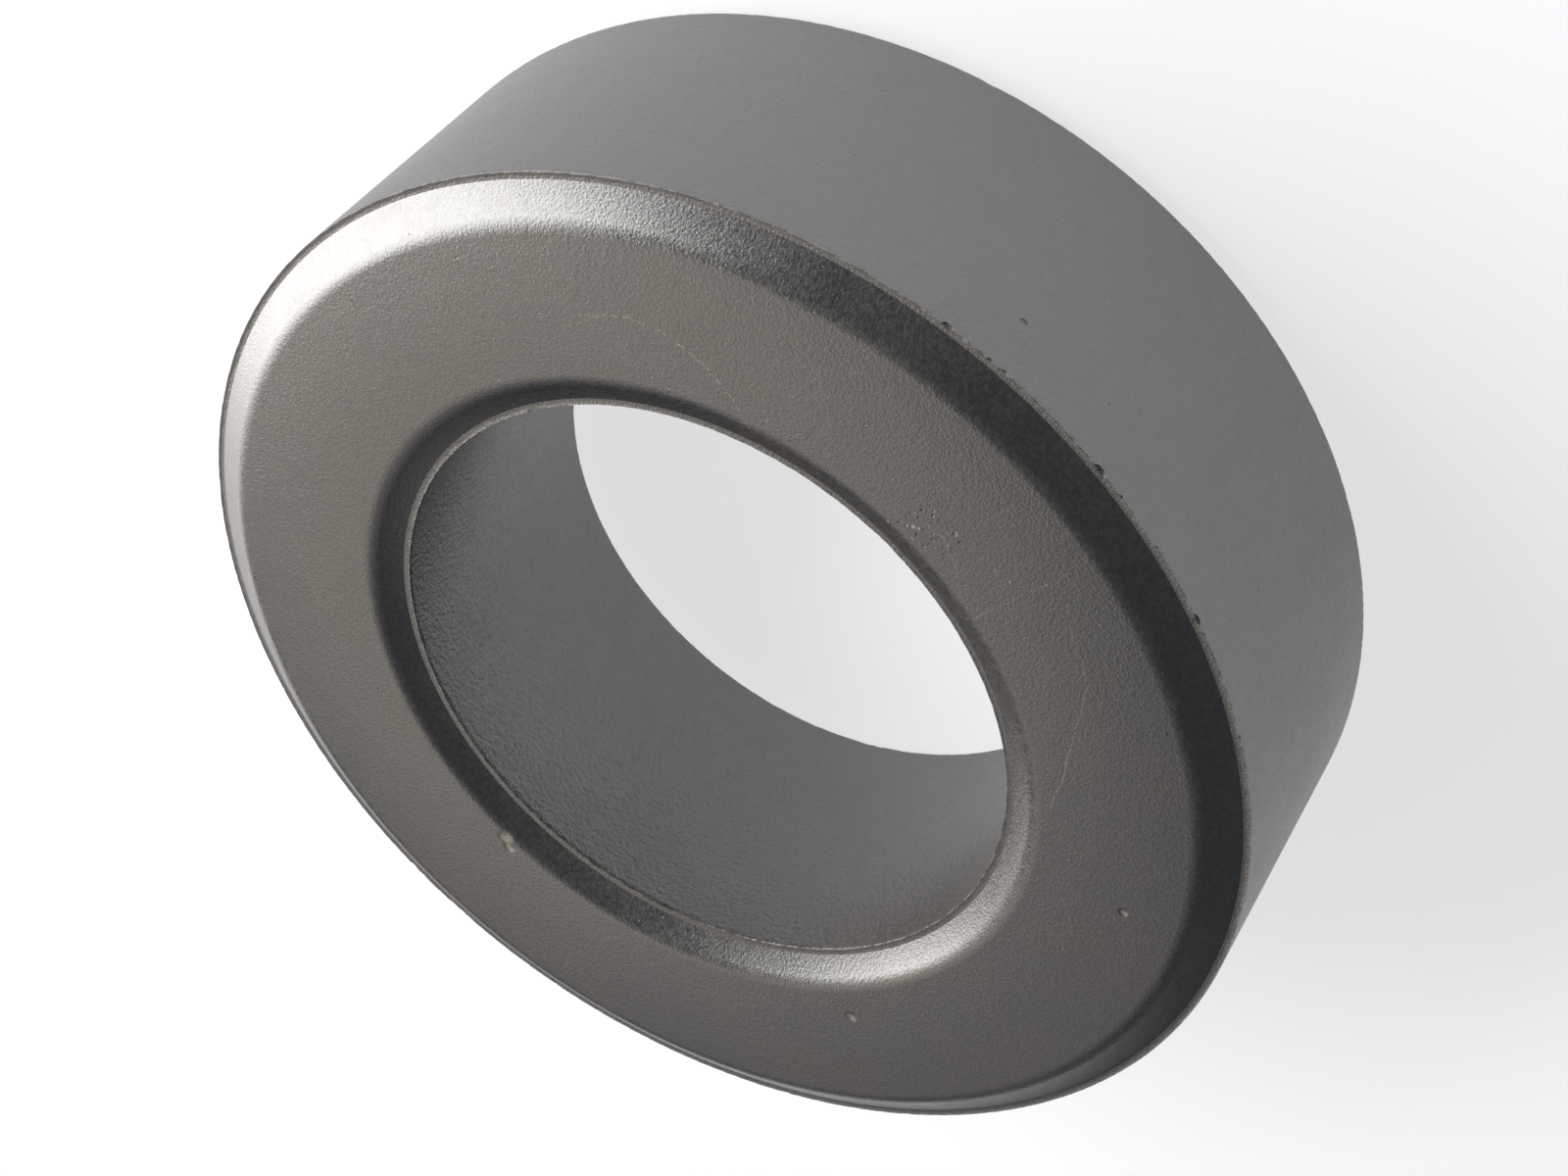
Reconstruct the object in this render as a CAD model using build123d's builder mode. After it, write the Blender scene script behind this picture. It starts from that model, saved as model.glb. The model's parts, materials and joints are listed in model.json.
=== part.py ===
"""Ferrite toroid core: one ring of pressed and sintered ferrite, with a chamfer and a narrow flat ledge
round the rim and round the bore of both ends. Millimetres. The bore's axis is Z, and the origin is the
bore's centre on the lower end face, which the ring lies on."""

import os

from build123d import *

# The ring as a whole
outer_diameter = 55.0
bore_diameter = 32.0
height = 17.5  # from one end face to the other

# Rim of each end: the ledge that the die leaves next to the outer wall, then the chamfer up to the face
rim_ledge = 0.35
rim_chamfer_width = 1.65
rim_chamfer_depth = 1.10  # the ledge lies this far below the end face

# Mouth of the bore at each end, built the same way and a little shallower
bore_ledge = 0.35
bore_chamfer_width = 1.35
bore_chamfer_depth = 0.87

# Where a chamfer runs into the end face, the punch leaves a soft corner
face_corner_radius = 1.5

# Radii that follow from the sizes above
outer_radius = outer_diameter / 2
bore_radius = bore_diameter / 2
rim_ledge_radius = outer_radius - rim_ledge
face_outer_radius = rim_ledge_radius - rim_chamfer_width
bore_ledge_radius = bore_radius + bore_ledge
face_inner_radius = bore_ledge_radius + bore_chamfer_width

# Heights of the two ledges of the upper end, and the plane that mirrors it to the lower end.
# Plane.XZ faces -Y, so a negative offset moves it towards +Y, which is upwards in the section.
rim_ledge_height = height - rim_chamfer_depth
bore_ledge_height = height - bore_chamfer_depth
section_middle = Plane.XZ.offset(-height / 2)

with BuildPart() as toroid_core:
    with BuildSketch(Plane.XZ) as section:
        with BuildLine():
            upper_end = Polyline(
                (bore_radius, bore_ledge_height),
                (bore_ledge_radius, bore_ledge_height),
                (face_inner_radius, height),
                (face_outer_radius, height),
                (rim_ledge_radius, rim_ledge_height),
                (outer_radius, rim_ledge_height),
            )
            lower_end = mirror(upper_end, about=section_middle)
            Line(upper_end @ 0, lower_end @ 0)
            Line(upper_end @ 1, lower_end @ 1)
        make_face()
        corners_by_height = section.vertices().group_by(Axis.Y)
        fillet(corners_by_height[0] + corners_by_height[-1], radius=face_corner_radius)
    revolve(axis=Axis.Z)

toroid_core.part.label = "toroid_core"

os.makedirs("parts", exist_ok=True)
export_step(toroid_core.part, "parts/toroid_core.step")
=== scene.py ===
"""The looks of the ferrite toroid core. The bare ring is rebuilt by Geometry Nodes on the sizes of the
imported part, with its pressed edges, chips and pits, and gets a sintered ferrite finish. Metres; the ring
lies on the floor with its bore along Z."""

import json
import math
import random

import bpy
from mathutils import Matrix, Vector


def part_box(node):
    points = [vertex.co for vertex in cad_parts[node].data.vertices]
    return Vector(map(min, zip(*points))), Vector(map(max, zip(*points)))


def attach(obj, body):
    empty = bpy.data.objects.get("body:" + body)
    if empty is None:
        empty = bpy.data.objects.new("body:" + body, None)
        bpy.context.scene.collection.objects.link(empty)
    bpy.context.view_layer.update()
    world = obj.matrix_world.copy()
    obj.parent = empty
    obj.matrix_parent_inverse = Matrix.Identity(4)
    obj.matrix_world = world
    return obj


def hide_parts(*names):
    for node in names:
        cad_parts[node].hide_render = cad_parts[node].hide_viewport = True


MM = 0.001

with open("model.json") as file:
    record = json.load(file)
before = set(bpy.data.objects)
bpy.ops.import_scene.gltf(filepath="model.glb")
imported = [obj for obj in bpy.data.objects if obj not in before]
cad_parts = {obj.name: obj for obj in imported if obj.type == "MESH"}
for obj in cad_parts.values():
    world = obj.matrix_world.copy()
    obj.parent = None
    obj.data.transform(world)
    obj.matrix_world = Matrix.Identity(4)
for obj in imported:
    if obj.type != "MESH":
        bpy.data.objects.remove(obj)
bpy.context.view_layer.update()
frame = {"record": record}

# ---------------------------------------------------------------- sizes
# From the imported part
mounts = {mount["name"]: mount for mount in frame["record"]["mounts"]}
ring_low, ring_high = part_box("toroid_core")
height = ring_high.z
outer_radius = mounts["rim"]["dims"]["r_mm"] * MM
bore_radius = mounts["bore"]["dims"]["r_mm"] * MM
rim_ledge_depth = (height - mounts["rim"]["dims"]["length_mm"] * MM) / 2
bore_ledge_depth = (height - mounts["bore"]["dims"]["length_mm"] * MM) / 2

# The part's own widths and corner radius, which its mounts don't give
ledge_width = 0.35 * MM
rim_chamfer_width = 1.65 * MM
bore_chamfer_width = 1.35 * MM
face_corner_radius = 1.5 * MM

# What pressing and handling leave on it
skin = 0.010 * MM  # the finished surface stays this far inside the nominal walls
lip_width = 0.10 * MM  # flash left where the punch meets the die
lip_height = 0.05 * MM
edge_radius = 0.05 * MM
foot_radius = 0.08 * MM
flash_core = 0.04 * MM  # the flash is worn all through up to here from the edge's line
flash_reach = 0.22 * MM  # and not at all beyond here
flash_wear = 0.018 * MM
flash_nibble = 0.045 * MM  # taken away besides, where the flash is nibbled
flash_slant = 0.6  # wear towards the middle of the wall, over wear along the bore
stone_lumps = 0.8  # how far a chip's surface strays from an even hollow, over its radius
pit_depth_share = 0.35  # depth of a pit in the outer wall over its half width
handling_pit_depth = 0.03  # millimetres, as all measures of a chip site are

# How finely the visual ring is divided
guard = 0.30 * MM  # rows of faces that keep an edge's roughness near the edge
row_spacing = 4.0 * MM
steps_around = 1440
weld = 1e-7  # points this close are one
on_stone = 2e-7  # a face this close to a stone lies on its surface
sharp_fold = math.radians(38)


# ---------------------------------------------------------------- node graphs as expressions
class Value:
    """An output socket that takes part in Python arithmetic by adding Math nodes."""

    def __init__(self, graph, socket):
        self.graph = graph
        self.socket = socket

    def _math(self, operation, *operands):
        return self.graph.add("ShaderNodeMath", dict(enumerate(operands)), operation=operation)

    def __add__(self, other):
        return self._math("ADD", self, other)

    def __radd__(self, other):
        return self._math("ADD", other, self)

    def __sub__(self, other):
        return self._math("SUBTRACT", self, other)

    def __rsub__(self, other):
        return self._math("SUBTRACT", other, self)

    def __mul__(self, other):
        return self._math("MULTIPLY", self, other)

    def __rmul__(self, other):
        return self._math("MULTIPLY", other, self)

    def __truediv__(self, other):
        return self._math("DIVIDE", self, other)

    def __rtruediv__(self, other):
        return self._math("DIVIDE", other, self)

    def __pow__(self, other):
        return self._math("POWER", self, other)

    def __gt__(self, other):
        return self._math("GREATER_THAN", self, other)

    def __lt__(self, other):
        return self._math("LESS_THAN", self, other)

    def __abs__(self):
        return self._math("ABSOLUTE", self)

    def apply(self, operation, *operands):
        """Any other Math operation, by its name."""
        return self._math(operation, self, *operands)


class Graph:
    """A node tree being written. add() makes any node: settings first, then its sockets."""

    def __init__(self, tree):
        self.tree = tree

    def add(self, kind, inputs=None, output=0, items=0, **settings):
        node = self.tree.nodes.new(kind)
        for name, value in settings.items():
            setattr(node, name, value)
        for _ in range(items):
            node.index_switch_items.new()
        for name, value in (inputs or {}).items():
            socket = node.inputs[name]
            if isinstance(value, Value):
                self.tree.links.new(value.socket, socket)
            else:
                socket.default_value = value
        return Value(self, node.outputs[output])

    def output(self, value, name_or_index):
        """Another output of the node that a value comes from."""
        return Value(self, value.socket.node.outputs[name_or_index])

    def vector(self, x, y, z):
        """Three numbers as a vector."""
        return self.add("ShaderNodeCombineXYZ", {"X": x, "Y": y, "Z": z})

    def parts(self, vector):
        """The x, y and z of a vector."""
        x = self.add("ShaderNodeSeparateXYZ", {"Vector": vector})
        return x, self.output(x, "Y"), self.output(x, "Z")

    def vector_math(self, operation, *operands, output=0, **sockets):
        inputs = dict(enumerate(operands)) | sockets
        return self.add("ShaderNodeVectorMath", inputs, output, operation=operation)

    def ramp(self, value, start, end):
        """0 where the value is at start, 1 where it is at end, and a smooth step between."""
        inputs = {"Value": value, "From Min": start, "From Max": end}
        return self.add("ShaderNodeMapRange", inputs, interpolation_type="SMOOTHSTEP")

    def noise(self, vector, size, detail=2.0, roughness=0.5):
        """Cloudy noise round 0.5, with clouds of about a size."""
        inputs = {"Vector": vector, "Scale": 1 / size, "Detail": detail, "Roughness": roughness}
        return self.add("ShaderNodeTexNoise", inputs)

    def mix(self, factor, a, b):
        """Colour a where the factor is 0, colour b where it is 1."""
        return self.add("ShaderNodeMix", {"Factor": factor, 6: a, 7: b}, output=2, data_type="RGBA")

    def join(self, parts):
        """Several geometries as one."""
        joined = self.add("GeometryNodeJoinGeometry")
        for part in reversed(parts):
            self.tree.links.new(part.socket, joined.socket.node.inputs["Geometry"])
        return joined

    def switch(self, index, values):
        """values[index], for a row of numbers or sockets."""
        inputs = {"Index": index} | {str(i): value for i, value in enumerate(values)}
        return self.add("GeometryNodeIndexSwitch", inputs, items=len(values) - 2, data_type="FLOAT")


# ---------------------------------------------------------------- the ring's shape
ring_inputs = {
    "NodeSocketGeometry": ["Chip Sites"],
    "NodeSocketFloat": [
        "Height", "Outer Radius", "Bore Radius", "Ledge Width", "Rim Ledge Depth", "Bore Ledge Depth",
        "Rim Chamfer Width", "Bore Chamfer Width", "Face Corner Radius", "Edge Radius", "Foot Radius",
        "Lip Width", "Lip Height", "Guard", "Row Spacing", "Stone Lumps",
    ],
    "NodeSocketInt": ["Steps Around"],
    "NodeSocketMaterial": ["Ferrite"],
}


# What each chip site says of its stone
site_attributes = {"stone_kind": "INT", "stone_turn": "FLOAT_VECTOR", "stone_size": "FLOAT_VECTOR"}


def stone_tree(g, lumps, kind, subdivisions):
    """A lumpy stone of radius 1 as an instance. Every kind has another shape."""
    stone = g.add("GeometryNodeMeshIcoSphere", {"Radius": 1.0, "Subdivisions": subdivisions})
    place = g.vector_math("ADD", g.add("GeometryNodeInputPosition"), (10.0 * kind, 0.0, 0.0))
    bulge = (g.noise(place, 0.9) - 0.5) * lumps
    normal = g.add("GeometryNodeInputNormal")
    outward = g.vector_math("SCALE", normal, Scale=bulge)
    stone = g.add("GeometryNodeSetPosition", {"Geometry": stone, "Offset": outward})
    return g.add("GeometryNodeGeometryToInstance", {"Geometry": stone})


def pressed_ring_tree():
    """Geometry Nodes: the ring's section swept round Z, its edges roughened, and chips cut out of it."""
    tree = bpy.data.node_groups.new("pressed_ring", "GeometryNodeTree")
    for kind, names in ring_inputs.items():
        for name in names:
            tree.interface.new_socket(name=name, in_out="INPUT", socket_type=kind)
    tree.interface.new_socket(name="Ring", in_out="OUTPUT", socket_type="NodeSocketGeometry")
    g = Graph(tree)
    group_input = tree.nodes.new("NodeGroupInput")
    size = {socket.name: Value(g, socket) for socket in group_input.outputs if socket.name}

    # Corners of the section, from the bore wall over the upper end to the outer wall. The lower end
    # has the same corners in the opposite order.
    outer, bore, guard_length = size["Outer Radius"], size["Bore Radius"], size["Guard"]
    bore_foot = bore + size["Ledge Width"]
    rim_foot = outer - size["Ledge Width"]
    rim_depth, bore_depth = size["Rim Ledge Depth"], size["Bore Ledge Depth"]
    lip, lip_up = size["Lip Width"], size["Lip Height"]
    edge, foot, soft = size["Edge Radius"], size["Foot Radius"], size["Face Corner Radius"]
    corners = [  # radius, depth below the end face, rounding, rounding steps
        (bore, bore_depth + guard_length, 0.0, 1),
        (bore, bore_depth - lip_up * 0.5, edge, 2),
        (bore + lip, bore_depth, 0.0, 1),
        (bore_foot, bore_depth, foot, 1),
        (bore_foot + size["Bore Chamfer Width"], 0.0, soft, 4),
        (rim_foot - size["Rim Chamfer Width"], 0.0, soft, 4),
        (rim_foot, rim_depth, foot, 1),
        (outer - lip, rim_depth, 0.0, 1),
        (outer, rim_depth - lip_up, edge, 2),
        (outer, rim_depth + guard_length, 0.0, 1),
    ]
    count = 2 * len(corners)
    index = g.add("GeometryNodeInputIndex")
    corner = index.apply("MINIMUM", count - 1 - index)
    radius, depth, rounding, steps = (g.switch(corner, column) for column in zip(*corners))
    upper = index < len(corners)
    z = upper * (size["Height"] - depth) + (1 - upper) * depth
    outline = g.add("GeometryNodeCurvePrimitiveCircle", {"Resolution": count, "Radius": 1.0})
    outline = g.add("GeometryNodeSetPosition", {"Geometry": outline, "Position": g.vector(radius, 0.0, z)})
    outline = g.add(
        "GeometryNodeFilletCurve",
        {"Curve": outline, "Count": steps, "Radius": rounding, "Limit Radius": True},
        mode="POLY",
    )

    # Long runs of the section are divided, so that the grid's faces stay short there
    position = g.add("GeometryNodeInputPosition")
    following = g.add("GeometryNodeOffsetPointInCurve", {"Offset": 1}, output="Point Index")
    following = g.add(
        "GeometryNodeFieldAtIndex", {"Index": following, "Value": position},
        data_type="FLOAT_VECTOR", domain="POINT",
    )
    run = g.vector_math("DISTANCE", position, following, output="Value")
    cuts = (run / size["Row Spacing"]).apply("FLOOR")
    outline = g.add("GeometryNodeSubdivideCurve", {"Curve": outline, "Cuts": cuts})
    rows = g.add("GeometryNodeAttributeDomainSize", {"Geometry": outline}, component="CURVE")

    # One grid row for each point of the section, one column for each step around
    grid = g.add(
        "GeometryNodeMeshGrid",
        {"Size X": 1.0, "Size Y": 1.0, "Vertices X": size["Steps Around"] + 1, "Vertices Y": rows + 1},
    )
    u, v, _ = g.parts(g.output(grid, "UV Map"))
    row = (v * rows + 0.5).apply("FLOOR").apply("MODULO", rows)
    section_point = g.add(
        "GeometryNodeSampleIndex", {"Geometry": outline, "Value": position, "Index": row},
        data_type="FLOAT_VECTOR", domain="POINT",
    )
    r, _, z = g.parts(section_point)
    angle = u * (2 * math.pi)
    swept = g.vector(r * angle.apply("COSINE"), r * angle.apply("SINE"), z)
    ring = g.add("GeometryNodeSetPosition", {"Geometry": grid, "Position": swept})
    ring = g.add("GeometryNodeMergeByDistance", {"Geometry": ring, "Distance": weld})
    ring = g.add("GeometryNodeFlipFaces", {"Mesh": ring})

    # The flash at the sharp edges is broken and nibbled: it only ever takes material away
    x, y, z = g.parts(position)
    r = (x * x + y * y).apply("SQRT")
    end_depth = z.apply("MINIMUM", size["Height"] - z)
    rim_reach = (r - outer) ** 2.0 + (end_depth - rim_depth) ** 2.0
    bore_reach = (r - bore) ** 2.0 + (end_depth - bore_depth) ** 2.0
    nearest = rim_reach.apply("MINIMUM", bore_reach).apply("SQRT")
    near_edge = g.ramp(nearest, flash_reach, flash_core)
    broken = g.ramp(g.noise(position, 0.55 * MM, detail=3.0, roughness=0.65), 0.38, 0.72)
    nibbled = g.ramp(g.noise(position, 2.6 * MM, detail=1.0), 0.55, 0.80)
    bite = near_edge * broken * (flash_wear + nibbled * flash_nibble)
    toward_outside = (r > (outer + bore) * 0.5) * 2.0 - 1.0
    inward = toward_outside * bite * -flash_slant
    down = (z > size["Height"] * 0.5) * -2.0 + 1.0
    offset = g.vector(inward * x / r, inward * y / r, down * bite)
    ring = g.add("GeometryNodeSetPosition", {"Geometry": ring, "Offset": offset})

    # Each chip site holds a stone of its own shape, size and turn, which is cut out of the ring
    fine_stones = [stone_tree(g, size["Stone Lumps"], kind, 3) for kind in range(3)]
    plain_stones = [stone_tree(g, size["Stone Lumps"], kind, 2) for kind in range(3, 6)]
    stones = g.join(fine_stones + plain_stones)
    site = {
        name: g.add("GeometryNodeInputNamedAttribute", {"Name": name}, data_type=kind)
        for name, kind in site_attributes.items()
    }
    stones = g.add(
        "GeometryNodeInstanceOnPoints",
        {
            "Points": size["Chip Sites"], "Instance": stones, "Pick Instance": True,
            "Instance Index": site["stone_kind"], "Rotation": site["stone_turn"],
            "Scale": site["stone_size"],
        },
    )
    stones = g.add("GeometryNodeRealizeInstances", {"Geometry": stones})
    ring = g.add("GeometryNodeSetMaterial", {"Geometry": ring, "Material": size["Ferrite"]})
    stones = g.add("GeometryNodeSetMaterial", {"Geometry": stones, "Material": size["Ferrite"]})
    chipped = g.add("GeometryNodeMeshBoolean", operation="DIFFERENCE", solver="MANIFOLD")
    boolean = chipped.socket.node
    tree.links.new(ring.socket, boolean.inputs["Mesh 1"])
    tree.links.new(stones.socket, boolean.inputs["Mesh 2"])

    # Faces that lie on a stone's surface are fresh breaks, which the finish shows rougher and paler
    to_stone = g.add("GeometryNodeProximity", {"Target": stones}, output="Distance")
    chipped = g.add(
        "GeometryNodeStoreNamedAttribute",
        {"Geometry": chipped, "Name": "fresh_break", "Value": to_stone < on_stone},
        data_type="FLOAT", domain="FACE",
    )

    # Smooth all over, except where two faces meet at a real edge or at the border of a fresh break
    fold = g.add("GeometryNodeInputMeshEdgeAngle")
    fresh = g.add("GeometryNodeInputNamedAttribute", {"Name": "fresh_break"}, data_type="FLOAT")
    border = (fresh > 0.2) * (fresh < 0.8)
    smooth = g.add("GeometryNodeSetShadeSmooth", {"Geometry": chipped, "Shade Smooth": True}, domain="FACE")
    smooth = g.add(
        "GeometryNodeSetShadeSmooth",
        {"Geometry": smooth, "Selection": (fold > sharp_fold) + border, "Shade Smooth": False},
        domain="EDGE",
    )
    whole = g.add("GeometryNodeRealizeInstances", {"Geometry": smooth})
    finished = g.add("GeometryNodeSetMaterial", {"Geometry": whole, "Material": size["Ferrite"]})
    tree.links.new(finished.socket, tree.nodes.new("NodeGroupOutput").inputs["Ring"])
    return tree


class ChipSites:
    """Where the ring is chipped and pitted: the place, kind, turn and size of each stone to cut out."""

    def __init__(self):
        self.dice = random.Random(11)
        self.rows = []

    def add(self, radius, azimuth, z, along, across, deep, fine=False):
        """A stone at a radius, azimuth in degrees and height; its half sizes along, across and into the
        ring. One that would touch an earlier stone is left out."""
        angle = math.radians(azimuth)
        place = Vector((radius * math.cos(angle), radius * math.sin(angle), z)) * MM
        half_sizes = Vector((across, along, deep)) * MM
        reach = max(half_sizes) * 1.5
        if any((place - other).length < reach + max(size) * 1.5 for other, _, _, size in self.rows):
            return
        tilt = [self.dice.uniform(-0.35, 0.35) for _ in range(2)]
        kind = self.dice.randrange(3) + (0 if fine else 3)
        self.rows.append((place, kind, Vector((*tilt, angle)), half_sizes))

    def rim(self, azimuth, along, deep, upper=True):
        """A chip out of the outer edge of the rim's ledge."""
        z = (height - rim_ledge_depth) / MM
        self.add(
            outer_radius / MM + 0.02, azimuth, z if upper else height / MM - z,
            along, deep * self.dice.uniform(0.8, 1.2), deep, fine=along > 0.25,
        )

    def mouth(self, azimuth, along, deep, upper=True):
        """A chip out of the inner edge of the bore's ledge."""
        z = (height - bore_ledge_depth) / MM
        self.add(
            bore_radius / MM - 0.02, azimuth, z if upper else height / MM - z,
            along, deep, deep * self.dice.uniform(0.8, 1.2), fine=along > 0.25,
        )

    def pit(self, radius, azimuth, width, deep, upper=True):
        """A pit in an end face."""
        z = height / MM if upper else 0.0
        self.add(radius, azimuth, z, width, width * self.dice.uniform(0.6, 1.0), deep)

    def wall_pit(self, azimuth, z, width, deep):
        """A pit in the outer wall."""
        self.add(outer_radius / MM, azimuth, z, width, deep, width * self.dice.uniform(0.6, 1.0))


def chip_sites():
    """All the chips, nicks and pits of this ring, as rows of place, kind, turn and half sizes."""
    sites = ChipSites()
    dice = sites.dice

    # The marks that tell this ring: chips along the front of the rim, a nick in the mouth of the bore
    sites.rim(-105.2, 0.40, 0.22)
    sites.rim(-87.4, 0.34, 0.20)
    sites.rim(-121.3, 0.30, 0.16)
    sites.rim(-93.6, 0.20, 0.12)
    sites.mouth(-31.0, 0.22, 0.12)
    for azimuth in (-88.6, -89.7, -90.9, -91.8, -103.4, -106.9, -108.3, -99.5, -96.8):
        sites.rim(azimuth + dice.uniform(-0.2, 0.2), dice.uniform(0.08, 0.17), dice.uniform(0.06, 0.11))
    for _ in range(12):
        sites.rim(dice.uniform(-134.0, -122.5), dice.uniform(0.05, 0.13), dice.uniform(0.04, 0.09))
    for azimuth, z, width in (
        (-92.2, 13.22, 0.22), (-92.9, 13.0, 0.10), (-91.6, 13.5, 0.09), (-102.4, 13.2, 0.10),
        (-102.9, 5.9, 0.07), (-127.8, 1.0, 0.16), (-125.8, 11.3, 0.08), (-94.0, 15.4, 0.07),
    ):
        sites.wall_pit(azimuth, z, width, width * pit_depth_share)

    # Pits of the worn patch on the upper face
    for _ in range(40):
        azimuth = dice.gauss(-100.0, 2.6)
        radius = dice.gauss(19.2, 0.8)
        if radius > 18.0:
            sites.pit(radius, azimuth, dice.uniform(0.03, 0.10), dice.uniform(0.02, 0.05))
    sites.pit(19.9, -101.8, 0.15, 0.07)
    sites.pit(20.0, -102.9, 0.11, 0.05)

    # Handling leaves small nicks and pits on every side
    for upper in (True, False):
        for _ in range(34):
            azimuth = dice.uniform(-180.0, 180.0)
            sites.rim(azimuth, dice.uniform(0.05, 0.16), dice.uniform(0.03, 0.08), upper)
        for _ in range(14):
            azimuth = dice.uniform(-180.0, 180.0)
            sites.mouth(azimuth, dice.uniform(0.05, 0.12), dice.uniform(0.03, 0.06), upper)
        for _ in range(12):
            radius = dice.uniform(18.2, 25.0)
            azimuth = dice.uniform(-180.0, 180.0)
            sites.pit(radius, azimuth, dice.uniform(0.04, 0.09), handling_pit_depth, upper)
    for _ in range(16):
        width = dice.uniform(0.04, 0.10)
        sites.wall_pit(dice.uniform(-180.0, 180.0), dice.uniform(2.0, 15.0), width, handling_pit_depth)
    return sites.rows


def ring_object(material):
    """The finished ring as one plain mesh."""
    sites = chip_sites()
    mesh = bpy.data.meshes.new("toroid_core_ring")  # a point for each site, until the ring replaces it
    mesh.from_pydata([place for place, _, _, _ in sites], [], [])
    for name, kind in site_attributes.items():
        mesh.attributes.new(name, kind, "POINT")
    for i, (_, kind, turn, half_sizes) in enumerate(sites):
        mesh.attributes["stone_kind"].data[i].value = kind
        mesh.attributes["stone_turn"].data[i].vector = turn
        mesh.attributes["stone_size"].data[i].vector = half_sizes
    ring = bpy.data.objects.new("toroid_core_ring", mesh)
    bpy.context.scene.collection.objects.link(ring)

    tree = pressed_ring_tree()
    modifier = ring.modifiers.new("pressed_ring", "NODES")
    modifier.node_group = tree
    values = {
        "Height": height, "Outer Radius": outer_radius - skin, "Bore Radius": bore_radius + skin,
        "Ledge Width": ledge_width, "Rim Ledge Depth": rim_ledge_depth, "Bore Ledge Depth": bore_ledge_depth,
        "Rim Chamfer Width": rim_chamfer_width, "Bore Chamfer Width": bore_chamfer_width,
        "Face Corner Radius": face_corner_radius, "Edge Radius": edge_radius, "Foot Radius": foot_radius,
        "Lip Width": lip_width, "Lip Height": lip_height, "Guard": guard, "Row Spacing": row_spacing,
        "Stone Lumps": stone_lumps, "Steps Around": steps_around, "Ferrite": material,
    }
    for socket in tree.interface.items_tree:
        if socket.in_out == "INPUT" and socket.name in values:
            modifier[socket.identifier] = values[socket.name]
    depsgraph = bpy.context.evaluated_depsgraph_get()
    finished = bpy.data.meshes.new_from_object(ring.evaluated_get(depsgraph))
    finished.materials.clear()
    finished.materials.append(material)
    ring.modifiers.clear()
    ring.data = finished
    return ring


# ---------------------------------------------------------------- finishes
# Fine scratches on the upper face: how pale, how broken into dots, and the points that each runs
# through as (azimuth in degrees, radius in millimetres)
scratches = [
    (1.0, 0.8, [(-48.5, 21.2), (-55.8, 21.5), (-61.0, 20.9), (-66.0, 20.0), (-70.0, 18.9), (-73.0, 17.7)]),
    (0.5, 0.6, [(-52.5, 21.4), (-45.4, 20.5)]),
    (0.3, 0.4, [(-37.0, 22.6), (-34.0, 23.2), (-28.0, 23.1), (-22.0, 22.6)]),
    (0.5, 0.3, [(-38.0, 17.9), (-36.8, 18.0)]),
    (0.6, 0.4, [(-147.0, 18.5), (-142.1, 19.1), (-138.0, 19.6), (-135.5, 19.9)]),
    (0.4, 0.5, [(-135.5, 19.9), (-130.0, 21.0), (-126.0, 21.8), (-118.0, 22.3)]),
    (0.5, 0.5, [(-114.0, 17.4), (-113.2, 20.2), (-112.2, 23.8)]),
    (0.35, 0.6, [(-112.0, 18.0), (-110.5, 21.5)]),
    (0.3, 0.5, [(-84.0, 23.9), (-79.0, 22.6)]),
    (0.4, 0.6, [(-107.5, 18.8), (-102.0, 19.6), (-97.0, 19.3)]),
    (0.3, 0.6, [(20.0, 22.9), (34.0, 21.3)]),
    (0.3, 0.6, [(-170.0, 21.5), (-163.0, 19.8)]),
]

# Single pale crystals and shallow dents on the upper face: azimuth in degrees, radius and reach in
# millimetres. The dents are pressed in by the bump and carry a painted highlight, a pale tan spot.
crystals = [
    (-98.7, 18.75, 0.16), (-99.3, 18.9, 0.11), (-98.1, 18.55, 0.09), (-99.8, 18.2, 0.08),
    (-102.4, 20.3, 0.09), (-102.8, 20.2, 0.08), (-101.9, 19.9, 0.07), (-110.8, 20.9, 0.08),
    (-108.8, 20.6, 0.07), (-96.0, 17.9, 0.09), (-101.0, 19.3, 0.07), (-97.4, 19.4, 0.06),
    (-31.5, 18.2, 0.08),
]
shallow_dents = [(80.3, 18.1, 0.55), (81.9, 18.4, 0.45), (145.3, 19.7, 0.42), (-160.0, 22.6, 0.30)]

# Tones of the bare ferrite, its wear and its broken places, and of the painted shade and highlights on it
cool_ferrite = (0.025, 0.026, 0.030, 1.0)
warm_ferrite = (0.037, 0.032, 0.027, 1.0)
granule_grey = (0.060, 0.056, 0.053, 1.0)
# painted shade in the hollows of the walls' peel; dark mottling on the ends
hollow_shade_and_mottle = (0.014, 0.014, 0.016, 1.0)
ledge_brown = (0.080, 0.068, 0.058, 1.0)
# painted shade in the pores
pore_shade_black = (0.012, 0.012, 0.013, 1.0)
scratch_dust = (0.26, 0.24, 0.20, 1.0)
crystal_white = (0.38, 0.36, 0.33, 1.0)
# painted glint along the flash at the edges
flash_glint_grey = (0.34, 0.33, 0.31, 1.0)
# painted highlight where the shallow dents catch the light
dent_highlight_tan = (0.30, 0.25, 0.20, 1.0)
break_dark = (0.05, 0.046, 0.043, 1.0)
break_pale = (0.20, 0.18, 0.16, 1.0)

scratch_width = 0.055  # millimetres from the middle of a scratch to where it ends


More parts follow.
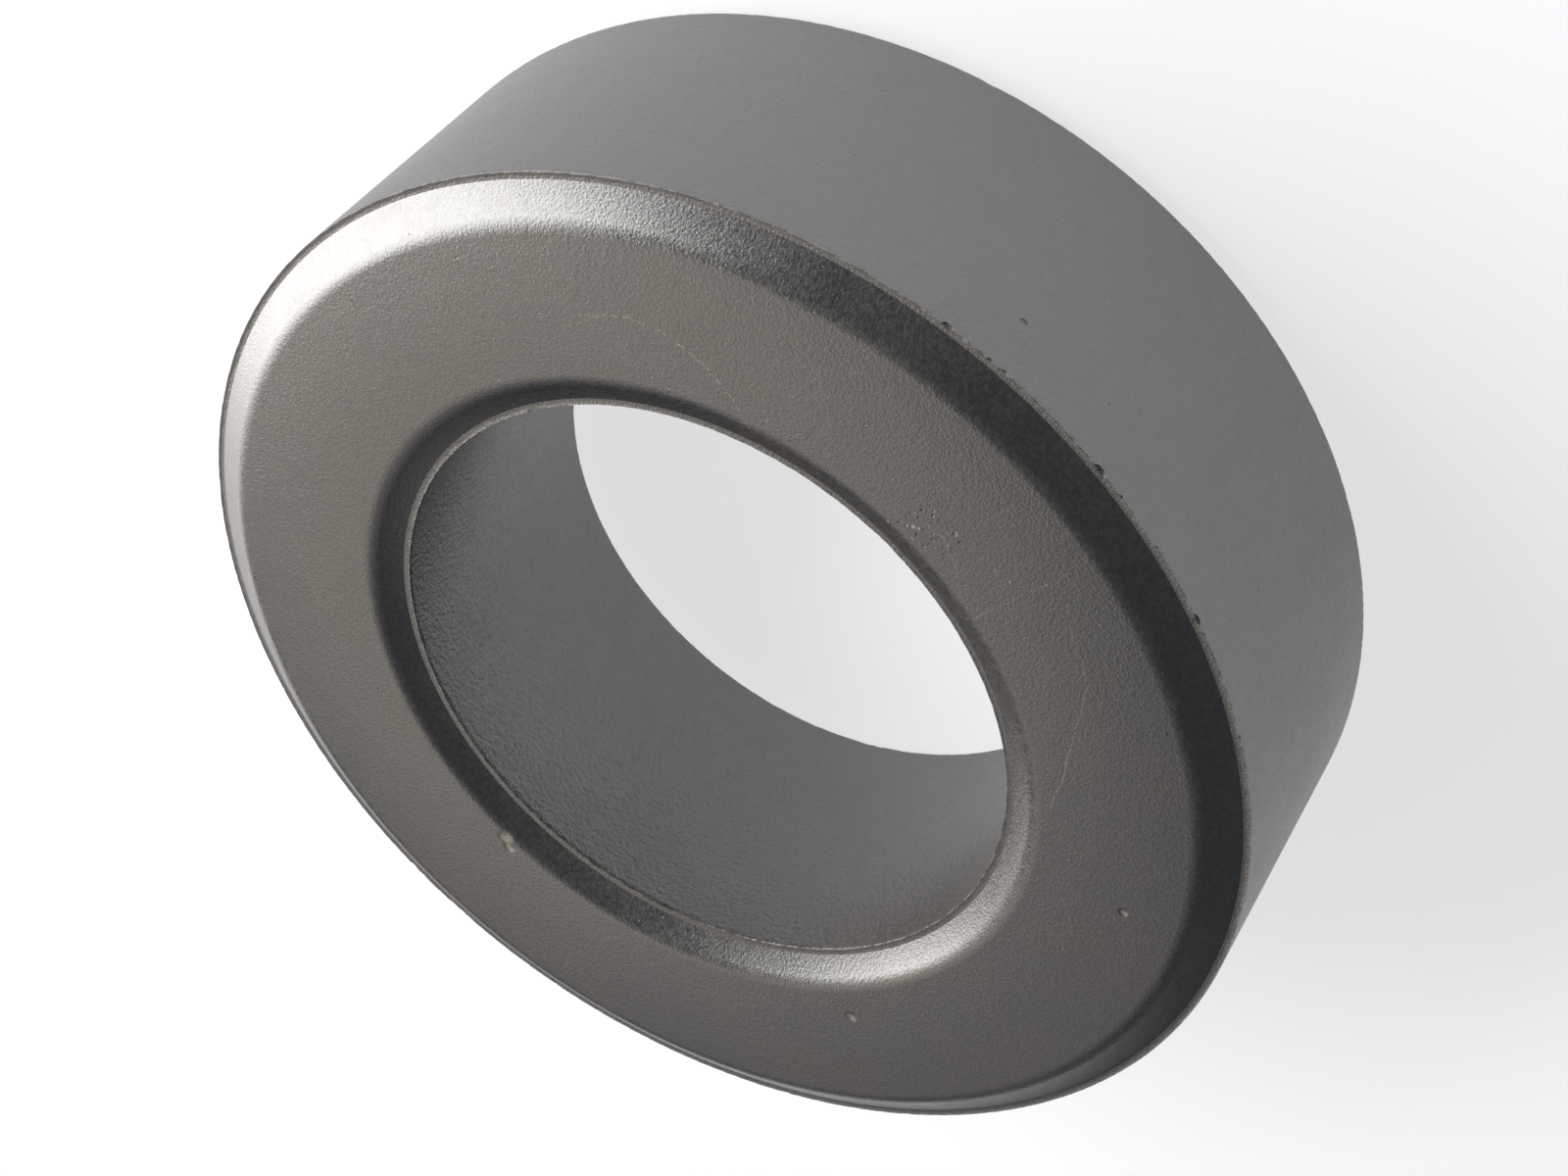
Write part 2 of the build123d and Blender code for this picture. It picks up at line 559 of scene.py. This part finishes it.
def scratch_mask(g, place, points):
    """1 on a broken line through some points of the face, 0 beside it. Works in millimetres."""
    flat = [
        Vector((radius * math.cos(math.radians(azimuth)), radius * math.sin(math.radians(azimuth)), 0.0))
        for azimuth, radius in points
    ]
    nearest = None
    for start, end in zip(flat, flat[1:]):
        run = end - start
        from_start = g.vector_math("SUBTRACT", place, start)
        along = g.vector_math("DOT_PRODUCT", from_start, run, output="Value") / run.length_squared
        along = along.apply("MAXIMUM", 0.0).apply("MINIMUM", 1.0)
        beside = g.vector_math("SUBTRACT", from_start, g.vector_math("SCALE", run, Scale=along))
        away = g.vector_math("LENGTH", beside, output="Value")
        nearest = away if nearest is None else nearest.apply("MINIMUM", away)
    return g.ramp(nearest, scratch_width, scratch_width * 0.3)


def ferrite_finish():
    """Bare sintered ferrite: nearly black, with a satin sheen, a fine pressed grain, small pale flecks
    and pores, scratches on the upper face, flash at the edges and dull fresh breaks. It has painted shade
    in the pores and the peel's hollows, a painted glint in dashes along the flash and painted highlights
    in the shallow dents."""
    material = bpy.data.materials.new("bare_ferrite")
    material.use_nodes = True
    g = Graph(material.node_tree)
    surface = material.node_tree.nodes["Principled BSDF"]
    surface.inputs["IOR"].default_value = 2.5

    place = g.vector_math("SCALE", g.add("ShaderNodeTexCoord", output="Object"), Scale=1 / MM)
    x, y, z = g.parts(place)
    r = (x * x + y * y).apply("SQRT")
    end_depth = z.apply("MINIMUM", height / MM - z)
    middle = (outer_radius + bore_radius) / 2 / MM
    half_width = (outer_radius - bore_radius) / 2 / MM
    off_middle = abs(r - middle)
    on_wall = g.ramp(off_middle, half_width - 0.08, half_width - 0.02)
    on_upper = z > height / MM - 0.15

    # Distance to the pressed edges, where the flash is, with a painted glint in pale dashes along it
    rim_edge = ((r - outer_radius / MM) ** 2.0 + (end_depth - rim_ledge_depth / MM) ** 2.0).apply("SQRT")
    bore_edge = ((r - bore_radius / MM) ** 2.0 + (end_depth - bore_ledge_depth / MM) ** 2.0).apply("SQRT")
    at_edge = g.ramp(rim_edge.apply("MINIMUM", bore_edge), 0.13, 0.04)
    dashes = g.ramp(g.noise(place, 0.45, detail=3.0), 0.42, 0.62)
    flash_glint = at_edge * dashes

    # Grain: an even orange peel on the walls, finer and flatter on the ends, and the granules under both
    peel = g.noise(place, 0.24, detail=1.5)
    satin = g.noise(place, 0.13, detail=2.0)
    granules = g.noise(place, 0.06, detail=1.0)
    blotches = g.noise(place, 5.0, detail=3.0, roughness=0.6)
    smears = g.noise(place, 1.3, detail=2.0)
    ledge = g.ramp(abs(off_middle - half_width + 0.17), 0.19, 0.14) * g.ramp(end_depth, 0.70, 0.95)

    # Pale flecks and dark pores, one in a share of the cells of a fine honeycomb. The pores' dark colour is
    # painted shade; the relief dips only slightly there
    def spots(spacing, share, size):
        cells = g.add("ShaderNodeTexVoronoi", {"Vector": place, "Scale": 1 / spacing}, output="Distance")
        chance, _, _ = g.parts(g.output(cells, "Color"))
        return (chance < share) * g.ramp(cells, size / spacing, size * 0.5 / spacing)

    def near(azimuth, radius, reach):
        """1 at a point of the upper face, 0 from a reach in millimetres away from it."""
        angle = math.radians(azimuth)
        point = (radius * math.cos(angle), radius * math.sin(angle), height / MM)
        return g.ramp(g.vector_math("DISTANCE", place, point, output="Value"), reach, reach * 0.2)

    patch = near(-100.0, 19.0, 2.2)
    flecks = spots(0.30, 0.025 + patch * 0.30, 0.045)
    for azimuth, radius, reach in crystals:
        flecks = flecks.apply("MAXIMUM", near(azimuth, radius, reach))
    pores = spots(0.42, 0.05 + patch * 0.40, 0.055)
    dents = None
    for azimuth, radius, reach in shallow_dents:
        dent = near(azimuth, radius, reach)
        dents = dent if dents is None else dents + dent

    wander = g.add("ShaderNodeTexNoise", {"Vector": place, "Scale": 1.1, "Detail": 2.0}, output="Color")
    wander = g.vector_math("SCALE", g.vector_math("SUBTRACT", wander, (0.5, 0.5, 0.5)), Scale=0.35)
    on_plane = g.vector_math("MULTIPLY", g.vector_math("ADD", place, wander), (1.0, 1.0, 0.0))
    dots = g.noise(place, 0.16, detail=1.0)
    scratched = None
    for paleness, broken, points in scratches:
        kept = g.ramp(dots, 0.30 + 0.22 * broken, 0.42 + 0.22 * broken)
        line = scratch_mask(g, on_plane, points) * kept * paleness
        scratched = line if scratched is None else scratched.apply("MAXIMUM", line)
    scratched = scratched * on_upper

    fresh = g.add("ShaderNodeAttribute", output="Fac", attribute_name="fresh_break")

    colour = g.mix(g.ramp(blotches, 0.35, 0.65), cool_ferrite, warm_ferrite)
    broken_grain = g.mix(g.ramp(satin, 0.4, 0.62), break_dark, break_pale)
    for share, tone in (
        (g.ramp(granules, 0.35, 0.75) * 0.6, granule_grey),
        # painted shade: darker where the peel noise is low, which is the hollows of the peel relief on the
        # walls; dark mottling on the ends
        (g.ramp(peel, 0.62, 0.36) * 0.6, hollow_shade_and_mottle),
        (ledge * 0.4, ledge_brown),
        # painted shade in the pores, which are real but only shallow dips in the relief
        (pores * 0.8, pore_shade_black),
        (scratched * 0.8, scratch_dust),
        (flecks * 0.8, crystal_white),
        # painted glint: pale dashes along the flash at the edges
        (flash_glint * 0.55, flash_glint_grey),
        # painted highlight: the shallow dents lit pale tan
        (dents * 0.6, dent_highlight_tan),
        (fresh * 0.8, broken_grain),
    ):
        colour = g.mix(share, colour, tone)

    roughness = 0.33 + (blotches - 0.5) * 0.10 + (smears - 0.5) * 0.08 + (peel - 0.5) * 0.22
    roughness = roughness + ledge * 0.08 + fresh * 0.14 - flash_glint * 0.06 + pores * 0.15

    # Height of the surface in millimetres
    relief = on_wall * (peel * 0.046) + (1.0 - on_wall) * (satin * 0.020) + granules * 0.003
    relief = relief - pores * 0.012 + ledge * satin * 0.015 + fresh * satin * 0.03 + smears * 0.004
    relief = relief - dents * 0.06
    bump = g.add("ShaderNodeBump", {"Height": relief, "Distance": MM, "Strength": 1.0})

    for name, value in (("Base Color", colour), ("Roughness", roughness), ("Normal", bump)):
        material.node_tree.links.new(value.socket, surface.inputs[name])
    return material


paper_glow = 0.7  # with the lamps' light it makes the paper nearly white


def floor_finish():
    """White paper, which looks the same in the ferrite's sheen and keeps the ring's shadow."""
    material = bpy.data.materials.new("white_paper")
    material.use_nodes = True
    g = Graph(material.node_tree)
    surface = material.node_tree.nodes["Principled BSDF"]
    surface.inputs["Base Color"].default_value = (0.385, 0.395, 0.42, 1)
    surface.inputs["Roughness"].default_value = 1.0
    surface.inputs["Specular IOR Level"].default_value = 0.0
    surface.inputs["Emission Color"].default_value = (1.0, 0.99, 1.0, 1)
    camera_ray = g.add("ShaderNodeLightPath", output="Is Camera Ray")
    glossy_ray = g.output(camera_ray, "Is Glossy Ray")
    through_ray = g.output(camera_ray, "Is Transmission Ray")
    seen = camera_ray.apply("MAXIMUM", glossy_ray).apply("MAXIMUM", through_ray)
    glow = seen * paper_glow
    material.node_tree.links.new(glow.socket, surface.inputs["Emission Strength"])
    return material


# ---------------------------------------------------------------- stage, lamps and camera
floor_half_side = 3.0


def white_floor(material):
    half = floor_half_side
    mesh = bpy.data.meshes.new("floor")
    corners = [(-half, -half, 0), (half, -half, 0), (half, half, 0), (-half, half, 0)]
    mesh.from_pydata(corners, [], [(0, 1, 2, 3)])
    mesh.materials.append(material)
    floor = bpy.data.objects.new("floor", mesh)
    bpy.context.scene.collection.objects.link(floor)


ring_middle = Vector((0, 0, height / 2))


def direction(azimuth, elevation):
    """Unit vector from the ring towards a compass azimuth, from +X towards +Y, and a height angle."""
    a, e = math.radians(azimuth), math.radians(elevation)
    return Vector((math.cos(a) * math.cos(e), math.sin(a) * math.cos(e), math.sin(e)))


def softbox(name, azimuth, elevation, distance, width, tall, radiance, colour):
    """A soft rectangular lamp that faces the ring. Its brightness doesn't hang on its size."""
    lamp = bpy.data.lights.new(name, "AREA")
    lamp.shape = "RECTANGLE"
    lamp.size = width
    lamp.size_y = tall
    lamp.energy = radiance * math.pi * width * tall
    lamp.color = colour
    box = bpy.data.objects.new(name, lamp)
    toward = direction(azimuth, elevation)
    box.location = ring_middle + toward * distance
    box.rotation_euler = toward.to_track_quat("Z", "Y").to_euler()
    bpy.context.scene.collection.objects.link(box)


def world_light(radiance):
    world = bpy.data.worlds.new("studio")
    world.use_nodes = True
    world.node_tree.nodes["Background"].inputs["Color"].default_value = (0.86, 0.92, 1, 1)
    world.node_tree.nodes["Background"].inputs["Strength"].default_value = radiance
    bpy.context.scene.world = world


def close_up_camera():
    """Above and in front of the ring, turned about its own line of sight so that the ring leans over."""
    camera = bpy.data.objects.new("camera", bpy.data.cameras.new("camera"))
    camera.data.lens = 63.24
    camera.data.sensor_width = 36.0
    camera.data.clip_start = 0.005
    place = Vector((-0.18, -100.43, 100.05)) * MM
    look = Vector((0.0, 0.7366, -0.6763)).normalized()
    roll = math.radians(-141.4)
    turn = look.to_track_quat("-Z", "Y").to_matrix() @ Matrix.Rotation(roll, 3, "Z")
    camera.matrix_world = Matrix.Translation(place) @ turn.to_4x4()
    bpy.context.scene.collection.objects.link(camera)
    bpy.context.scene.camera = camera


ferrite = ferrite_finish()
ring = ring_object(ferrite)
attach(ring, "root")
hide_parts("toroid_core")

white_floor(floor_finish())
world_light(0.10)
# Each softbox: azimuth, elevation, distance, width, height, brightness, colour
softbox("back_key", 73, 45, 0.6, 0.32, 0.28, 0.95, (1.0, 0.93, 0.77))
softbox("back_fill", 106, 37, 0.6, 0.28, 0.26, 0.34, (1.0, 0.90, 0.94))
softbox("low_back", 58, 8, 0.5, 0.28, 0.13, 2.4, (1.0, 0.94, 0.88))
softbox("side_key", 16, 28, 0.5, 0.66, 0.45, 5.4, (1.0, 0.98, 0.95))
close_up_camera()
bpy.context.scene.view_settings.view_transform = "Standard"
